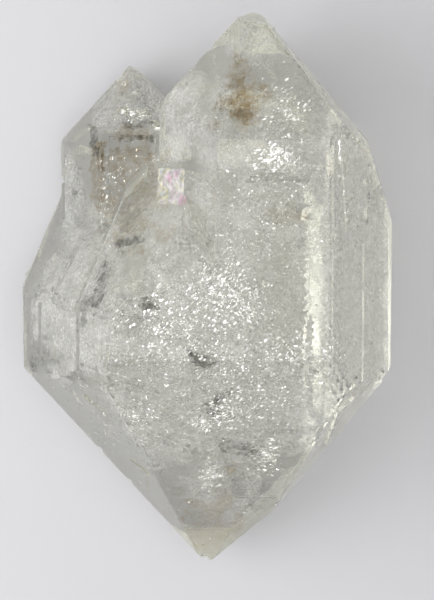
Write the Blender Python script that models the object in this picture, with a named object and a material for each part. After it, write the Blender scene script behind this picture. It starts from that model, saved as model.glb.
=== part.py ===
"""Herkimer diamond quartz: clear quartz crystals with a point at both ends, grown together in parallel.

The cluster lies on its back. +Y runs along the crystals to the taller point, +X to the right,
and +Z up through the broad front faces. The floor is z = 0.
"""

import math

import bmesh
import bpy
from mathutils import Matrix, Vector

MM = 0.001

# Angles of quartz, in degrees
SIX_TURNS = (0.0, 60.0, 120.0, 180.0, 240.0, 300.0)
BACK_SIDE = SIX_TURNS.index(180.0)
END_TILT = 38.2
STEEP_TILT = 17.0
BLUNT_TILT = 84.0

# Shared body: the wide crystal that carries the left shoulder, the flat back and the lower point.
# Every crystal gives the x and z of its axis, then the distance of its six sides from that axis,
# the front one first and the rest round to the right, in millimetres.
BODY_AXIS = (0.0, 13.0)
BODY_SIDES = (13.0, 17.83, 15.98, 13.0, 20.65, 14.65)
# Height at which an end face crosses the axis
BODY_TOP_FRONT = 23.1
BODY_TOP_RIGHT = 17.4
BODY_TOP_BACK = 31.2
BODY_TOP_LEFT = 19.1
POINT_FRONT = -21.2
POINT_RIGHT = -31.3
POINT_BACK = -42.6
POINT_STEPPED_TURN = 108.4
POINT_STEPPED_TILT = 31.9
POINT_STEPPED = -37.45
POINT_LEFT_TURN = 303.8
POINT_LEFT_TILT = 37.8
POINT_LEFT = -26.4
POINT_LEFT_BACK_TURN = 240.9
POINT_LEFT_BACK_TILT = 35.8
POINT_LEFT_BACK = -37.54

# Main crystal: the tall one at the right
MAIN_AXIS = (5.13, 15.5)
MAIN_SIDES = (11.0, 12.86, 13.63, 13.0, 8.6, 8.81)
MAIN_TOP_FRONT = 34.2
MAIN_TOP_BACK_RIGHT = 34.3
MAIN_TOP_BACK = 38.9
MAIN_TOP_BACK_LEFT = 34.0
MAIN_TOP_LEFT = 32.7
MAIN_TOP_RIGHT_TURN = 90.7
MAIN_TOP_RIGHT_TILT = 39.4
MAIN_TOP_RIGHT = 33.2
MAIN_STEEP = 59.2
MAIN_BLUNT = 31.5
MAIN_POINT_INSET = 0.2

# Step of growth that widens the main crystal at its left
STEP_AXIS = (-1.64, 14.5)
STEP_SIDES = (11.6, 8.0, 8.0, 6.5, 4.05, 4.05)
STEP_TOP = 20.5
STEP_TOP_FRONT = 32.0
STEP_FOOT = -5.3

# Small crystal at the upper left
SMALL_AXIS = (-8.0, 4.0)
SMALL_SIDES = (7.5, 8.28, 7.8, 3.4, 7.21, 6.82)
SMALL_TOPS = (25.2, 25.1, 25.3, 25.7, 25.4, 25.2)
SMALL_CAP_TURN = 80.0
SMALL_CAP_TILT = 62.0
SMALL_CAP = 24.5
SMALL_FOOT = -13.0
SMALL_BAND_RISE = 0.3
SMALL_BAND_TOP_FRONT = 16.6
SMALL_BAND_TOP_LEFT = 12.6
SMALL_BAND_FOOT = -12.0

# Front crystal: a shallow one that stands just proud of the main face and carries the left shoulder
FRONT_AXIS = (-2.68, 22.0)
FRONT_SIDES = (5.2, 16.0, 20.0, 10.0, 10.0, 9.0)
FRONT_RIGHT_LIMIT = 15.6
FRONT_TOP_FRONT = 15.7
FRONT_TOP_RIGHT = 13.9
FRONT_TOP_LEFT = 12.8
FRONT_PROUD = 0.14
FRONT_POINT_INSET = 0.34

# Crystal grown into the back of the main one
BACK_AXIS = (9.6, 5.2)
BACK_SIDES = (4.2, 4.6, 4.4, 4.7, 4.5, 4.6)
BACK_TOPS = (15.4, 15.1, 15.6, 15.2, 15.5, 15.0)
BACK_FEET = (-13.6, -13.2, -13.5, -13.1, -13.4, -13.3)

# Little crystal grown out of the left of the back
BUD_AXIS = (-17.1, 3.3)
BUD_SIDES = (2.6, 2.8, 2.7, 2.9, 2.7, 2.8)
BUD_TOP = 4.6
BUD_FOOT = -8.4

# Relief on the faces
TERRACE_LEAN = 24.0
TERRACE_MARGIN = 0.07
SAME_FACE = 0.05
PIT_LEAN = 55.0
ROOT_DEPTH = 0.8
WELD = 0.002
FINE_WELD = 0.0004

QUARTZ_COLOUR = (0.86, 0.87, 0.84, 1.0)
QUARTZ_ROUGHNESS = 0.06


def direction(turn, tilt):
    """Unit vector turned from the front (+Z) towards the right (+X), then tilted towards +Y."""
    turn = math.radians(turn)
    tilt = math.radians(tilt)
    return Vector((math.sin(turn) * math.cos(tilt), math.sin(tilt), math.cos(turn) * math.cos(tilt)))


def side_face(axis, turn, distance):
    """Side of a crystal: its outward normal and a point on it."""
    outward = direction(turn, 0.0)
    return outward, Vector((axis[0], 0.0, axis[1])) + outward * distance


def end_face(axis, turn, tilt, height):
    """End face of a crystal, met by the axis at the height. A negative tilt faces down."""
    return direction(turn, tilt), Vector((axis[0], height, axis[1]))


def sides(axis, distances):
    return [side_face(axis, turn, distance) for turn, distance in zip(SIX_TURNS, distances)]


def ends(axis, heights, tilt):
    return [end_face(axis, turn, tilt, height) for turn, height in zip(SIX_TURNS, heights)]


def solid(name, faces):
    """Closed solid that all the faces bound, cut from a block one face at a time."""
    shape = bmesh.new()
    bmesh.ops.create_cube(shape, size=200.0)
    for outward, point in faces:
        cut = bmesh.ops.bisect_plane(
            shape,
            geom=shape.verts[:] + shape.edges[:] + shape.faces[:],
            plane_co=point,
            plane_no=outward,
            clear_outer=True,
        )
        rim = [part for part in cut["geom_cut"] if isinstance(part, bmesh.types.BMEdge)]
        if rim:
            bmesh.ops.holes_fill(shape, edges=rim)
    bmesh.ops.remove_doubles(shape, verts=shape.verts, dist=WELD)
    bmesh.ops.recalc_face_normals(shape, faces=shape.faces)
    return made_object(name, shape)


def made_object(name, shape):
    mesh = bpy.data.meshes.new(name)
    shape.to_mesh(mesh)
    shape.free()
    made = bpy.data.objects.new(name, mesh)
    bpy.context.scene.collection.objects.link(made)
    return made


def joined(whole, other, operation):
    """Does one Boolean, keeps its result as the whole's own mesh and removes the other solid."""
    boolean = whole.modifiers.new("join", "BOOLEAN")
    boolean.operation = operation
    boolean.solver = "EXACT"
    boolean.object = other
    graph = bpy.context.evaluated_depsgraph_get()
    result = bpy.data.meshes.new_from_object(whole.evaluated_get(graph))
    whole.modifiers.clear()
    old = whole.data
    whole.data = result
    bpy.data.meshes.remove(old)
    bpy.data.objects.remove(other)


def point_faces(inset):
    """The faces of the lower point, which the body and the main crystal share, moved inwards."""
    faces = [
        end_face(BODY_AXIS, 0.0, -END_TILT, POINT_FRONT),
        end_face(BODY_AXIS, 60.0, -END_TILT, POINT_RIGHT),
        end_face(BODY_AXIS, POINT_STEPPED_TURN, -POINT_STEPPED_TILT, POINT_STEPPED),
        end_face(BODY_AXIS, 180.0, -END_TILT, POINT_BACK),
        end_face(BODY_AXIS, POINT_LEFT_BACK_TURN, -POINT_LEFT_BACK_TILT, POINT_LEFT_BACK),
        end_face(BODY_AXIS, POINT_LEFT_TURN, -POINT_LEFT_TILT, POINT_LEFT),
    ]
    return [(outward, point - outward * inset) for outward, point in faces]


def body_faces():
    faces = sides(BODY_AXIS, BODY_SIDES) + point_faces(0.0)
    faces.append(end_face(BODY_AXIS, 0.0, END_TILT, BODY_TOP_FRONT))
    faces.append(end_face(BODY_AXIS, 60.0, END_TILT, BODY_TOP_RIGHT))
    faces.append(end_face(BODY_AXIS, 180.0, END_TILT, BODY_TOP_BACK))
    faces.append(end_face(BODY_AXIS, 300.0, END_TILT, BODY_TOP_LEFT))
    return faces


def main_faces():
    faces = sides(MAIN_AXIS, MAIN_SIDES) + point_faces(MAIN_POINT_INSET)
    faces.append(end_face(MAIN_AXIS, 0.0, END_TILT, MAIN_TOP_FRONT))
    faces.append(end_face(MAIN_AXIS, 120.0, END_TILT, MAIN_TOP_BACK_RIGHT))
    faces.append(end_face(MAIN_AXIS, 180.0, END_TILT, MAIN_TOP_BACK))
    faces.append(end_face(MAIN_AXIS, 240.0, END_TILT, MAIN_TOP_BACK_LEFT))
    faces.append(end_face(MAIN_AXIS, 300.0, END_TILT, MAIN_TOP_LEFT))
    faces.append(end_face(MAIN_AXIS, MAIN_TOP_RIGHT_TURN, MAIN_TOP_RIGHT_TILT, MAIN_TOP_RIGHT))
    faces.append(end_face(MAIN_AXIS, 90.0, STEEP_TILT, MAIN_STEEP))
    faces.append(end_face(MAIN_AXIS, 0.0, BLUNT_TILT, MAIN_BLUNT))
    return faces


def step_faces():
    faces = sides(STEP_AXIS, STEP_SIDES)
    faces.append(end_face(STEP_AXIS, 300.0, END_TILT, STEP_TOP))
    faces.append(end_face(STEP_AXIS, 240.0, END_TILT, STEP_TOP))
    faces.append(end_face(STEP_AXIS, 0.0, END_TILT, STEP_TOP_FRONT))
    faces.append(end_face(STEP_AXIS, 0.0, -END_TILT, STEP_FOOT))
    return faces


def small_faces():
    faces = sides(SMALL_AXIS, SMALL_SIDES) + ends(SMALL_AXIS, SMALL_TOPS, END_TILT)
    faces.append(end_face(SMALL_AXIS, SMALL_CAP_TURN, SMALL_CAP_TILT, SMALL_CAP))
    faces.append(end_face(SMALL_AXIS, 0.0, -END_TILT, SMALL_FOOT))
    return faces


def small_band_faces():
    """Lower part of the small crystal, a little wider than its top except at the back."""
    rises = [SMALL_BAND_RISE] * len(SMALL_SIDES)
    rises[BACK_SIDE] = -SMALL_BAND_RISE
    faces = sides(SMALL_AXIS, [distance + rise for distance, rise in zip(SMALL_SIDES, rises)])
    faces.append(end_face(SMALL_AXIS, 0.0, END_TILT, SMALL_BAND_TOP_FRONT))
    faces.append(end_face(SMALL_AXIS, 300.0, END_TILT, SMALL_BAND_TOP_LEFT))
    faces.append(end_face(SMALL_AXIS, 0.0, -END_TILT, SMALL_BAND_FOOT))
    return faces


def front_faces():
    faces = sides(FRONT_AXIS, FRONT_SIDES)
    faces.append(side_face(FRONT_AXIS, 90.0, FRONT_RIGHT_LIMIT))
    faces.append(end_face(FRONT_AXIS, 0.0, END_TILT, FRONT_TOP_FRONT))
    faces.append(end_face(FRONT_AXIS, 60.0, END_TILT, FRONT_TOP_RIGHT))
    faces.append(end_face(FRONT_AXIS, 300.0, END_TILT, FRONT_TOP_LEFT))
    point = point_faces(FRONT_POINT_INSET)
    point[0] = point_faces(-FRONT_PROUD)[0]
    return faces + point


def back_crystal_faces():
    faces = sides(BACK_AXIS, BACK_SIDES)
    return faces + ends(BACK_AXIS, BACK_TOPS, END_TILT) + ends(BACK_AXIS, BACK_FEET, -END_TILT)


def bud_faces():
    faces = sides(BUD_AXIS, BUD_SIDES)
    return faces + ends(BUD_AXIS, [BUD_TOP] * 6, END_TILT) + ends(BUD_AXIS, [BUD_FOOT] * 6, -END_TILT)


def face_frame(face):
    """Across and up directions that lie in a face."""
    outward = face[0]
    across = Vector((0.0, 1.0, 0.0)).cross(outward).normalized()
    return across, outward.cross(across)


def on_face(face, x, y):
    """The point of a face above or below (x, y)."""
    outward, point = face
    height = point.z - (outward.x * (x - point.x) + outward.y * (y - point.y)) / outward.z
    return Vector((x, y, height))


def terrace(crystal, face, x, y, reaches, first_turn, rise):
    """Low flat-topped layer of growth on a face: its rim sides lie at the reaches from (x, y).

    It stops short of the edges of the crystal's other faces.
    """
    outward = face[0]
    across, up = face_frame(face)
    middle = on_face(face, x, y)
    faces = [(outward, middle + outward * rise), (-outward, middle - outward * ROOT_DEPTH)]
    lean = math.radians(TERRACE_LEAN)
    for index, reach in enumerate(reaches):
        turn = math.radians(first_turn + 360.0 * index / len(reaches))
        flat = across * math.cos(turn) + up * math.sin(turn)
        faces.append((flat * math.cos(lean) + outward * math.sin(lean), middle + flat * reach))
    for other, point in crystal:
        if other.angle(outward) > SAME_FACE:
            faces.append((other, point - other * TERRACE_MARGIN))
    return solid("terrace", faces)


def pit(face, x, y, reaches, first_turn, depth):
    """Shallow sunk hollow with flat sloping sides, to be cut out of a face."""
    outward = face[0]
    across, up = face_frame(face)
    middle = on_face(face, x, y)
    faces = [(outward, middle + outward * ROOT_DEPTH), (-outward, middle - outward * depth)]
    lean = math.radians(PIT_LEAN)
    for index, reach in enumerate(reaches):
        turn = math.radians(first_turn + 360.0 * index / len(reaches))
        flat = across * math.cos(turn) + up * math.sin(turn)
        faces.append((flat * math.cos(lean) - outward * math.sin(lean), middle + flat * reach))
    return solid("pit", faces)


def scoop(middle, reach, turn, squash):
    """Round-bottomed flake scar, to be cut out of an edge."""
    shape = bmesh.new()
    bmesh.ops.create_icosphere(shape, subdivisions=2, radius=reach)
    spun = Matrix.Rotation(math.radians(turn), 4, Vector((0.3, 0.5, 1.0)).normalized())
    placed = Matrix.Translation(Vector(middle)) @ spun @ Matrix.Diagonal((1.0, squash, 1.0, 1.0))
    bmesh.ops.transform(shape, matrix=placed, verts=shape.verts)
    return made_object("scoop", shape)


def lay(cluster, crystal, face, rows):
    """Adds terraces to one face of a crystal. Each row is x, y, reaches, first turn and rise."""
    for x, y, reaches, first_turn, rise in rows:
        joined(cluster, terrace(crystal, face, x, y, reaches, first_turn, rise), "UNION")


def main_terraces(cluster):
    crystal = main_faces()
    front = side_face(MAIN_AXIS, 0.0, MAIN_SIDES[0])
    right = side_face(MAIN_AXIS, 60.0, MAIN_SIDES[1])
    top_front = end_face(MAIN_AXIS, 0.0, END_TILT, MAIN_TOP_FRONT)
    top_left = end_face(MAIN_AXIS, 300.0, END_TILT, MAIN_TOP_LEFT)
    lay(cluster, crystal, front, [
        (9.3, 14.2, (3.6, 2.2, 5.0, 2.6), 0.0, 0.13),
        (12.6, 8.0, (1.4, 9.5, 1.5, 7.0), 0.0, 0.1),
    ])
    lay(cluster, crystal, right, [
        (15.4, 15.0, (1.6, 6.0, 1.4, 5.0), 8.0, 0.12),
        (17.6, 0.0, (1.3, 8.0, 1.2, 9.0), 0.0, 0.16),
    ])
    lay(cluster, crystal, top_front, [
        (5.4, 22.6, (2.0, 2.4, 2.2), 90.0, 0.11),
        (9.4, 20.4, (3.0, 2.4, 3.2, 2.0), 20.0, 0.14),
    ])
    lay(cluster, crystal, top_left, [(0.8, 21.4, (2.4, 2.8, 2.6), 30.0, 0.12)])


def body_terraces(cluster):
    crystal = body_faces()
    foot = point_faces(0.0)
    shoulder = end_face(BODY_AXIS, 300.0, END_TILT, BODY_TOP_LEFT)
    left = side_face(BODY_AXIS, 300.0, BODY_SIDES[5])
    lay(cluster, crystal, foot[0], [
        (4.0, -15.6, (4.2, 3.0, 4.6), 90.0, 0.34),
        (-4.6, -17.0, (3.4, 4.4, 3.0, 4.0), 55.0, 0.3),
    ])
    lay(cluster, crystal, foot[0], [(0.6, -22.6, (2.4, 2.0, 2.6), 30.0, 0.18)])
    lay(cluster, crystal, foot[5], [
        (-12.2, -12.6, (3.6, 1.6, 3.2, 1.8), 45.0, 0.22),
        (-7.4, -20.6, (3.4, 1.3, 3.0, 1.4), 45.0, 0.2),
    ])
    lay(cluster, crystal, foot[1], [(14.6, -12.6, (1.5, 4.6, 1.3, 4.0), 38.0, 0.28)])
    lay(cluster, crystal, shoulder, [(-16.4, 3.4, (2.4, 2.0, 2.6), 10.0, 0.16)])
    lay(cluster, crystal, left, [(-17.2, -3.6, (1.6, 3.4, 1.8, 2.8), 0.0, 0.14)])


def small_terraces(cluster):
    crystal = small_faces()
    front = side_face(SMALL_AXIS, 0.0, SMALL_SIDES[0] + SMALL_BAND_RISE)
    top = end_face(SMALL_AXIS, 0.0, END_TILT, SMALL_TOPS[0])
    lay(cluster, small_band_faces(), front, [(-8.8, 7.6, (2.2, 2.4, 2.2, 6.0), 0.0, 0.13)])
    lay(cluster, crystal, top, [
        (-7.8, 16.2, (2.4, 1.0, 2.2, 1.2), 0.0, 0.18),
        (-7.9, 19.0, (1.5, 0.8, 1.4, 0.9), 0.0, 0.16),
    ])


def front_terraces(cluster):
    crystal = front_faces()
    front = side_face(FRONT_AXIS, 0.0, FRONT_SIDES[0])
    lay(cluster, crystal, front, [
        (-6.6, -1.4, (3.0, 3.8, 3.2), 30.0, 0.15),
        (3.2, -4.2, (4.4, 2.2, 3.8, 1.6), 40.0, 0.11),
    ])


def back_terraces(cluster):
    """Layers of growth on the backs, clear of the resting face."""
    main_back = side_face(MAIN_AXIS, 180.0, MAIN_SIDES[3])
    main_back_right = side_face(MAIN_AXIS, 120.0, MAIN_SIDES[2])
    main_back_top = end_face(MAIN_AXIS, 180.0, END_TILT, MAIN_TOP_BACK)
    body_back_left = side_face(BODY_AXIS, 240.0, BODY_SIDES[4])
    lay(cluster, main_faces(), main_back, [(5.0, 17.4, (2.6, 3.2, 2.8), 30.0, 0.3)])
    lay(cluster, main_faces(), main_back_right, [(15.2, 6.0, (2.4, 6.0, 2.2, 4.0), 0.0, 0.24)])
    lay(cluster, main_faces(), main_back_top, [(4.4, 24.8, (2.2, 1.6, 2.0, 1.4), 45.0, 0.2)])
    lay(cluster, body_faces(), body_back_left, [(-18.0, -1.0, (1.2, 3.6, 1.3, 3.0), 0.0, 0.18)])


def sink_pits(cluster):
    """Triangular and four-sided hollows in the faces, front and back."""
    main_front = side_face(MAIN_AXIS, 0.0, MAIN_SIDES[0])
    main_right = side_face(MAIN_AXIS, 60.0, MAIN_SIDES[1])
    foot = point_faces(0.0)
    front = side_face(FRONT_AXIS, 0.0, FRONT_SIDES[0])
    body_back = side_face(BODY_AXIS, 180.0, BODY_SIDES[3])
    sunk = [
        (main_front, 7.6, 12.4, (0.7, 0.5, 0.6), 30.0, 0.34),
        (main_front, 10.4, 12.8, (0.5, 0.6, 0.5), 80.0, 0.30),
        (main_front, 5.6, 4.6, (0.8, 0.5, 0.9, 0.5), 15.0, 0.24),
        (main_right, 17.3, 11.2, (0.35, 0.7, 0.35, 0.7), 0.0, 0.40),
        (main_right, 17.2, 14.6, (0.30, 0.45, 0.30, 0.45), 0.0, 0.36),
        (front, -6.8, 0.6, (0.8, 0.7, 0.75), 90.0, 0.50),
        (front, -0.6, -5.4, (0.9, 0.5, 0.8, 0.5), 25.0, 0.36),
        (foot[0], -8.0, -10.4, (0.9, 0.7, 0.9, 0.7), 0.0, 0.34),
        (foot[0], -0.4, -11.4, (0.9, 0.9, 0.8), 10.0, 0.40),
        (foot[0], 2.6, -18.4, (1.0, 0.9, 1.1), 50.0, 0.44),
        (foot[5], -14.6, -9.4, (0.6, 0.5, 0.6), 20.0, 0.30),
        (body_back, -3.6, 2.0, (1.8, 1.7, 1.6), 90.0, 0.60),
        (body_back, 1.4, -8.4, (1.2, 1.3, 1.1), 30.0, 0.50),
        (body_back, -9.2, -6.8, (0.9, 0.9, 1.0), 70.0, 0.40),
    ]
    for face, x, y, reaches, first_turn, depth in sunk:
        joined(cluster, pit(face, x, y, reaches, first_turn, depth), "DIFFERENCE")


def strike_flakes(cluster):
    """Small flake scars along the edges and the two points."""
    struck = [
        ((0.55, 28.3, 14.5), 0.7, 20.0, 0.6),
        ((-1.3, 26.3, 14.5), 0.55, 70.0, 0.7),
        ((4.7, 31.4, 16.8), 0.8, 40.0, 0.6),
        ((16.4, 19.6, 21.7), 0.6, 10.0, 0.5),
        ((-9.6, 23.6, 3.8), 0.5, 35.0, 0.7),
        ((-11.9, -18.5, 6.2), 0.8, 30.0, 0.6),
        ((-8.6, -22.3, 5.9), 0.65, 50.0, 0.6),
        ((8.4, -23.5, 10.7), 0.7, 15.0, 0.6),
        ((17.1, -11.9, 13.9), 0.6, 75.0, 0.5),
        ((-0.1, -31.6, 4.4), 0.6, 60.0, 0.8),
        ((-14.6, -7.9, 17.1), 0.8, 80.0, 0.5),
        ((-16.1, 11.8, 3.6), 0.6, 25.0, 0.6),
        ((16.0, -7.4, 22.4), 0.6, 35.0, 0.6),
    ]
    for middle, reach, turn, squash in struck:
        joined(cluster, scoop(middle, reach, turn, squash), "DIFFERENCE")


def tidied(cluster):
    """Welds stray points, then moves the middle of the outline to the origin and the back to z = 0."""
    shape = bmesh.new()
    shape.from_mesh(cluster.data)
    bmesh.ops.remove_doubles(shape, verts=shape.verts, dist=FINE_WELD)
    bmesh.ops.dissolve_degenerate(shape, edges=shape.edges, dist=FINE_WELD)
    spans = [(min(v.co[i] for v in shape.verts), max(v.co[i] for v in shape.verts)) for i in range(3)]
    shift = Vector((-sum(spans[0]) / 2, -sum(spans[1]) / 2, -spans[2][0]))
    bmesh.ops.translate(shape, vec=shift, verts=shape.verts)
    bmesh.ops.scale(shape, vec=(MM, MM, MM), verts=shape.verts)
    shape.to_mesh(cluster.data)
    shape.free()


def quartz_material():
    material = bpy.data.materials.new("quartz")
    material.use_nodes = True
    shader = material.node_tree.nodes["Principled BSDF"]
    shader.inputs["Base Color"].default_value = QUARTZ_COLOUR
    shader.inputs["Roughness"].default_value = QUARTZ_ROUGHNESS
    shader.inputs["Metallic"].default_value = 0.0
    return material


def clear_scene():
    for leftover in list(bpy.data.objects):
        bpy.data.objects.remove(leftover)


def build():
    clear_scene()
    cluster = solid("quartz_cluster", body_faces())
    grown_on = (
        main_faces,
        step_faces,
        small_faces,
        small_band_faces,
        front_faces,
        back_crystal_faces,
        bud_faces,
    )
    for faces in grown_on:
        joined(cluster, solid("grown", faces()), "UNION")
    for laid in (main_terraces, body_terraces, small_terraces, front_terraces, back_terraces):
        laid(cluster)
    sink_pits(cluster)
    strike_flakes(cluster)
    tidied(cluster)
    cluster.data.materials.clear()
    cluster.data.materials.append(quartz_material())


build()
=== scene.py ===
"""Herkimer diamond quartz, lying on its back on pale paper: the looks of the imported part.

Lengths are in millimetres in the part's own frame, and become metres where a mesh is made.
"""

import math

import bmesh
import bpy
import numpy as np
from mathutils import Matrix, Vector, noise
from mathutils.bvhtree import BVHTree
from mathutils.geometry import delaunay_2d_cdt


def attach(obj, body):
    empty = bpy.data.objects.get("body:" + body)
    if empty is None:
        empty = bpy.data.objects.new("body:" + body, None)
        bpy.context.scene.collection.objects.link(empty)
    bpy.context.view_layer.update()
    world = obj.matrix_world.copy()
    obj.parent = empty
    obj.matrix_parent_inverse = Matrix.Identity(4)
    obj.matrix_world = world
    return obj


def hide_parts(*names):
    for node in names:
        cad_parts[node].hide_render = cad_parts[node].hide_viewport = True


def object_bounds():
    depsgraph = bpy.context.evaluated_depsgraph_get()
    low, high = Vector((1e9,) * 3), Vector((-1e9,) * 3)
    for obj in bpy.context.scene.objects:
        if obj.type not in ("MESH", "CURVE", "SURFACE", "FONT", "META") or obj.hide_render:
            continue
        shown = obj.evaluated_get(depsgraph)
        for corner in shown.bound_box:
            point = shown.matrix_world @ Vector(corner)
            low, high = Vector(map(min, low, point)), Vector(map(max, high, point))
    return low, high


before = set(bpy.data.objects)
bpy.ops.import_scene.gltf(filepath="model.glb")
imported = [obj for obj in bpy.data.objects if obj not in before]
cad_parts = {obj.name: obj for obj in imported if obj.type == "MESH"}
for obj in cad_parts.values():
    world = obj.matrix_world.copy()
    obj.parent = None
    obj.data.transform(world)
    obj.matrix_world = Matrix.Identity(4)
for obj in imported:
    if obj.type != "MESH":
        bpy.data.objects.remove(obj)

cad_box = [list(corner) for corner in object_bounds()]

# The crystal itself. Several clear quartz crystals grew into each other in
# water, so one skin runs over all of them, with steps of growth on each face.
MM = 0.001
SKIN_STEP = 0.42
SAME_PLANE = math.cos(math.radians(0.35))
SAME_WAY = 0.9999
CLEAR_OF_RIM = 0.6
SLIVER = 0.0001
SAME_SPOT = 1e-7
SHARP_EDGE = math.radians(9.0)
WELD = 0.0008
EDGE_WEAR = 0.035
EDGE_WAVES = ((0.9, 0.9), (0.5, 3.1))
SKIN_WAVES = ((0.016, 0.45), (0.006, 1.4))
QUARTZ_IOR = 1.544
POLISHED = 0.015
ETCHED = 0.16
DULLEST = 0.42
DULL_FLAT = 0.45
DULL_LEAN = 0.8
GROWTH_LINE_LEANS = (46.5, -46.5, 0.0)
GROWTH_LINE_SHAPE = (9.0 * MM, 0.35 * MM, 9.0 * MM)
GROWTH_LINE_DEPTH = 0.02 * MM
QUARTZ_TINT = (0.978, 0.968, 0.70, 1.0)
QUARTZ_DENSITY = 10.0


class Wire:
    """One socket of a material. Sums and products of wires and numbers add Math nodes."""

    def __init__(self, finish, socket):
        self.finish = finish
        self.socket = socket

    def maths(self, operation, left, right):
        return self.finish.node("ShaderNodeMath", {"operation": operation}, {0: left, 1: right})

    def __add__(self, other):
        return self.maths("ADD", self, other)

    def __radd__(self, other):
        return self.maths("ADD", other, self)

    def __mul__(self, other):
        return self.maths("MULTIPLY", self, other)

    def __rmul__(self, other):
        return self.maths("MULTIPLY", other, self)


class Finish:
    """A material or world while its nodes are laid out."""

    def __init__(self, tree):
        self.tree = tree
        tree.nodes.clear()

    def node(self, kind, settings=None, sockets=None, output=0):
        """Adds a node: its settings first, then the values or wires of its sockets."""
        made = self.tree.nodes.new(kind)
        for name, value in (settings or {}).items():
            if name == "stops":
                set_stops(made.color_ramp, value)
            else:
                setattr(made, name, value)
        for name, value in (sockets or {}).items():
            if isinstance(value, Wire):
                self.tree.links.new(value.socket, made.inputs[name])
            else:
                made.inputs[name].default_value = value
        return Wire(self, made.outputs[output]) if made.outputs else None


def set_stops(ramp, stops):
    """Gives a colour ramp its stops: (place, colour) in rising order."""
    while len(ramp.elements) < len(stops):
        ramp.elements.new(1.0)
    for element, (place, colour) in zip(ramp.elements, stops):
        element.position = place
        element.color = colour


def new_finish(name):
    material = bpy.data.materials.new(name)
    material.use_nodes = True
    return material, Finish(material.node_tree)


def on_mesh(finish, name):
    """A number that the mesh carries under a name."""
    return finish.node("ShaderNodeAttribute", {"attribute_name": name}, output="Fac")


def uneven(finish, place, scale, detail=2.0, roughness=0.5):
    """Natural unevenness: a number near one half that drifts from place to place."""
    sockets = {"Vector": place, "Scale": scale, "Detail": detail, "Roughness": roughness}
    return finish.node("ShaderNodeTexNoise", {}, sockets)


def rising(finish, value, start, end, low=0.0, high=1.0, easing="SMOOTHSTEP"):
    """Rises from low to high while a value goes from start to end, and stays level beyond them."""
    sockets = {"Value": value, "From Min": start, "From Max": end, "To Min": low, "To Max": high}
    return finish.node("ShaderNodeMapRange", {"interpolation_type": easing}, sockets)


def clear_quartz():
    """Clear quartz, faintly warm where it is thick, with polished and slightly etched patches."""
    material, finish = new_finish("clear_quartz")
    place = finish.node("ShaderNodeTexCoord", output="Object")
    etched = uneven(finish, place, 260.0)
    patches = rising(finish, etched, 0.45, 0.7, POLISHED, ETCHED)
    roughness = patches + on_mesh(finish, "dull") * DULLEST
    lines = 0.0
    for lean in GROWTH_LINE_LEANS:
        along = finish.node(
            "ShaderNodeMapping",
            {"vector_type": "TEXTURE"},
            {"Vector": place, "Rotation": (0.0, 0.0, math.radians(lean)), "Scale": GROWTH_LINE_SHAPE},
        )
        lines = uneven(finish, along, 1.0, 0.0) + lines
    relief = finish.node(
        "ShaderNodeBump",
        {},
        {"Height": lines, "Strength": 0.5, "Distance": GROWTH_LINE_DEPTH},
    )
    shader = finish.node(
        "ShaderNodeBsdfPrincipled",
        {},
        {
            "Base Color": (1.0, 1.0, 1.0, 1.0),
            "Roughness": roughness,
            "IOR": QUARTZ_IOR,
            "Transmission Weight": 1.0,
            "Normal": relief,
        },
    )
    tint = finish.node(
        "ShaderNodeVolumeAbsorption",
        {},
        {"Color": QUARTZ_TINT, "Density": QUARTZ_DENSITY},
    )
    finish.node("ShaderNodeOutputMaterial", {}, {"Surface": shader, "Volume": tint})
    return material


def inside_outline(places, starts, ends):
    """Which of the flat places lie inside an outline, holes left out, given by its pieces."""
    inside = np.zeros(len(places), bool)
    for start, end in zip(starts, ends):
        if start[1] != end[1]:
            crosses = (places[:, 1] < start[1]) != (places[:, 1] < end[1])
            at = start[0] + (places[:, 1] - start[1]) * (end[0] - start[0]) / (end[1] - start[1])
            inside ^= crosses & (places[:, 0] < at)
    return inside


def laid_out_points(rim, starts, ends, step):
    """Even points of a triangular grid inside an outline, clear of its own points."""
    low = rim.min(axis=0)
    high = rim.max(axis=0)
    rows = np.arange(low[1], high[1], step * math.sin(math.radians(60.0)))
    columns = np.arange(low[0], high[0], step)
    shifted = [(x + step / 2 * (index % 2), y) for index, y in enumerate(rows) for x in columns]
    grid = np.array(shifted).reshape(-1, 2)
    grid = grid[inside_outline(grid, starts, ends)]
    for point in rim:
        grid = grid[np.hypot(grid[:, 0] - point[0], grid[:, 1] - point[1]) > step * CLEAR_OF_RIM]
    return grid


def flat_patches(shape):
    """The faces of a mesh in groups that lie in one plane and touch."""
    patch_of = {}
    patches = []
    for first in shape.faces:
        if first in patch_of:
            continue
        patch = [first]
        patch_of[first] = len(patches)
        for face in patch:
            for edge in face.edges:
                for other in edge.link_faces:
                    if other not in patch_of and other.normal.dot(first.normal) > SAME_PLANE:
                        patch_of[other] = len(patches)
                        patch.append(other)
        patches.append(patch)
    return patches, patch_of


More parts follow.
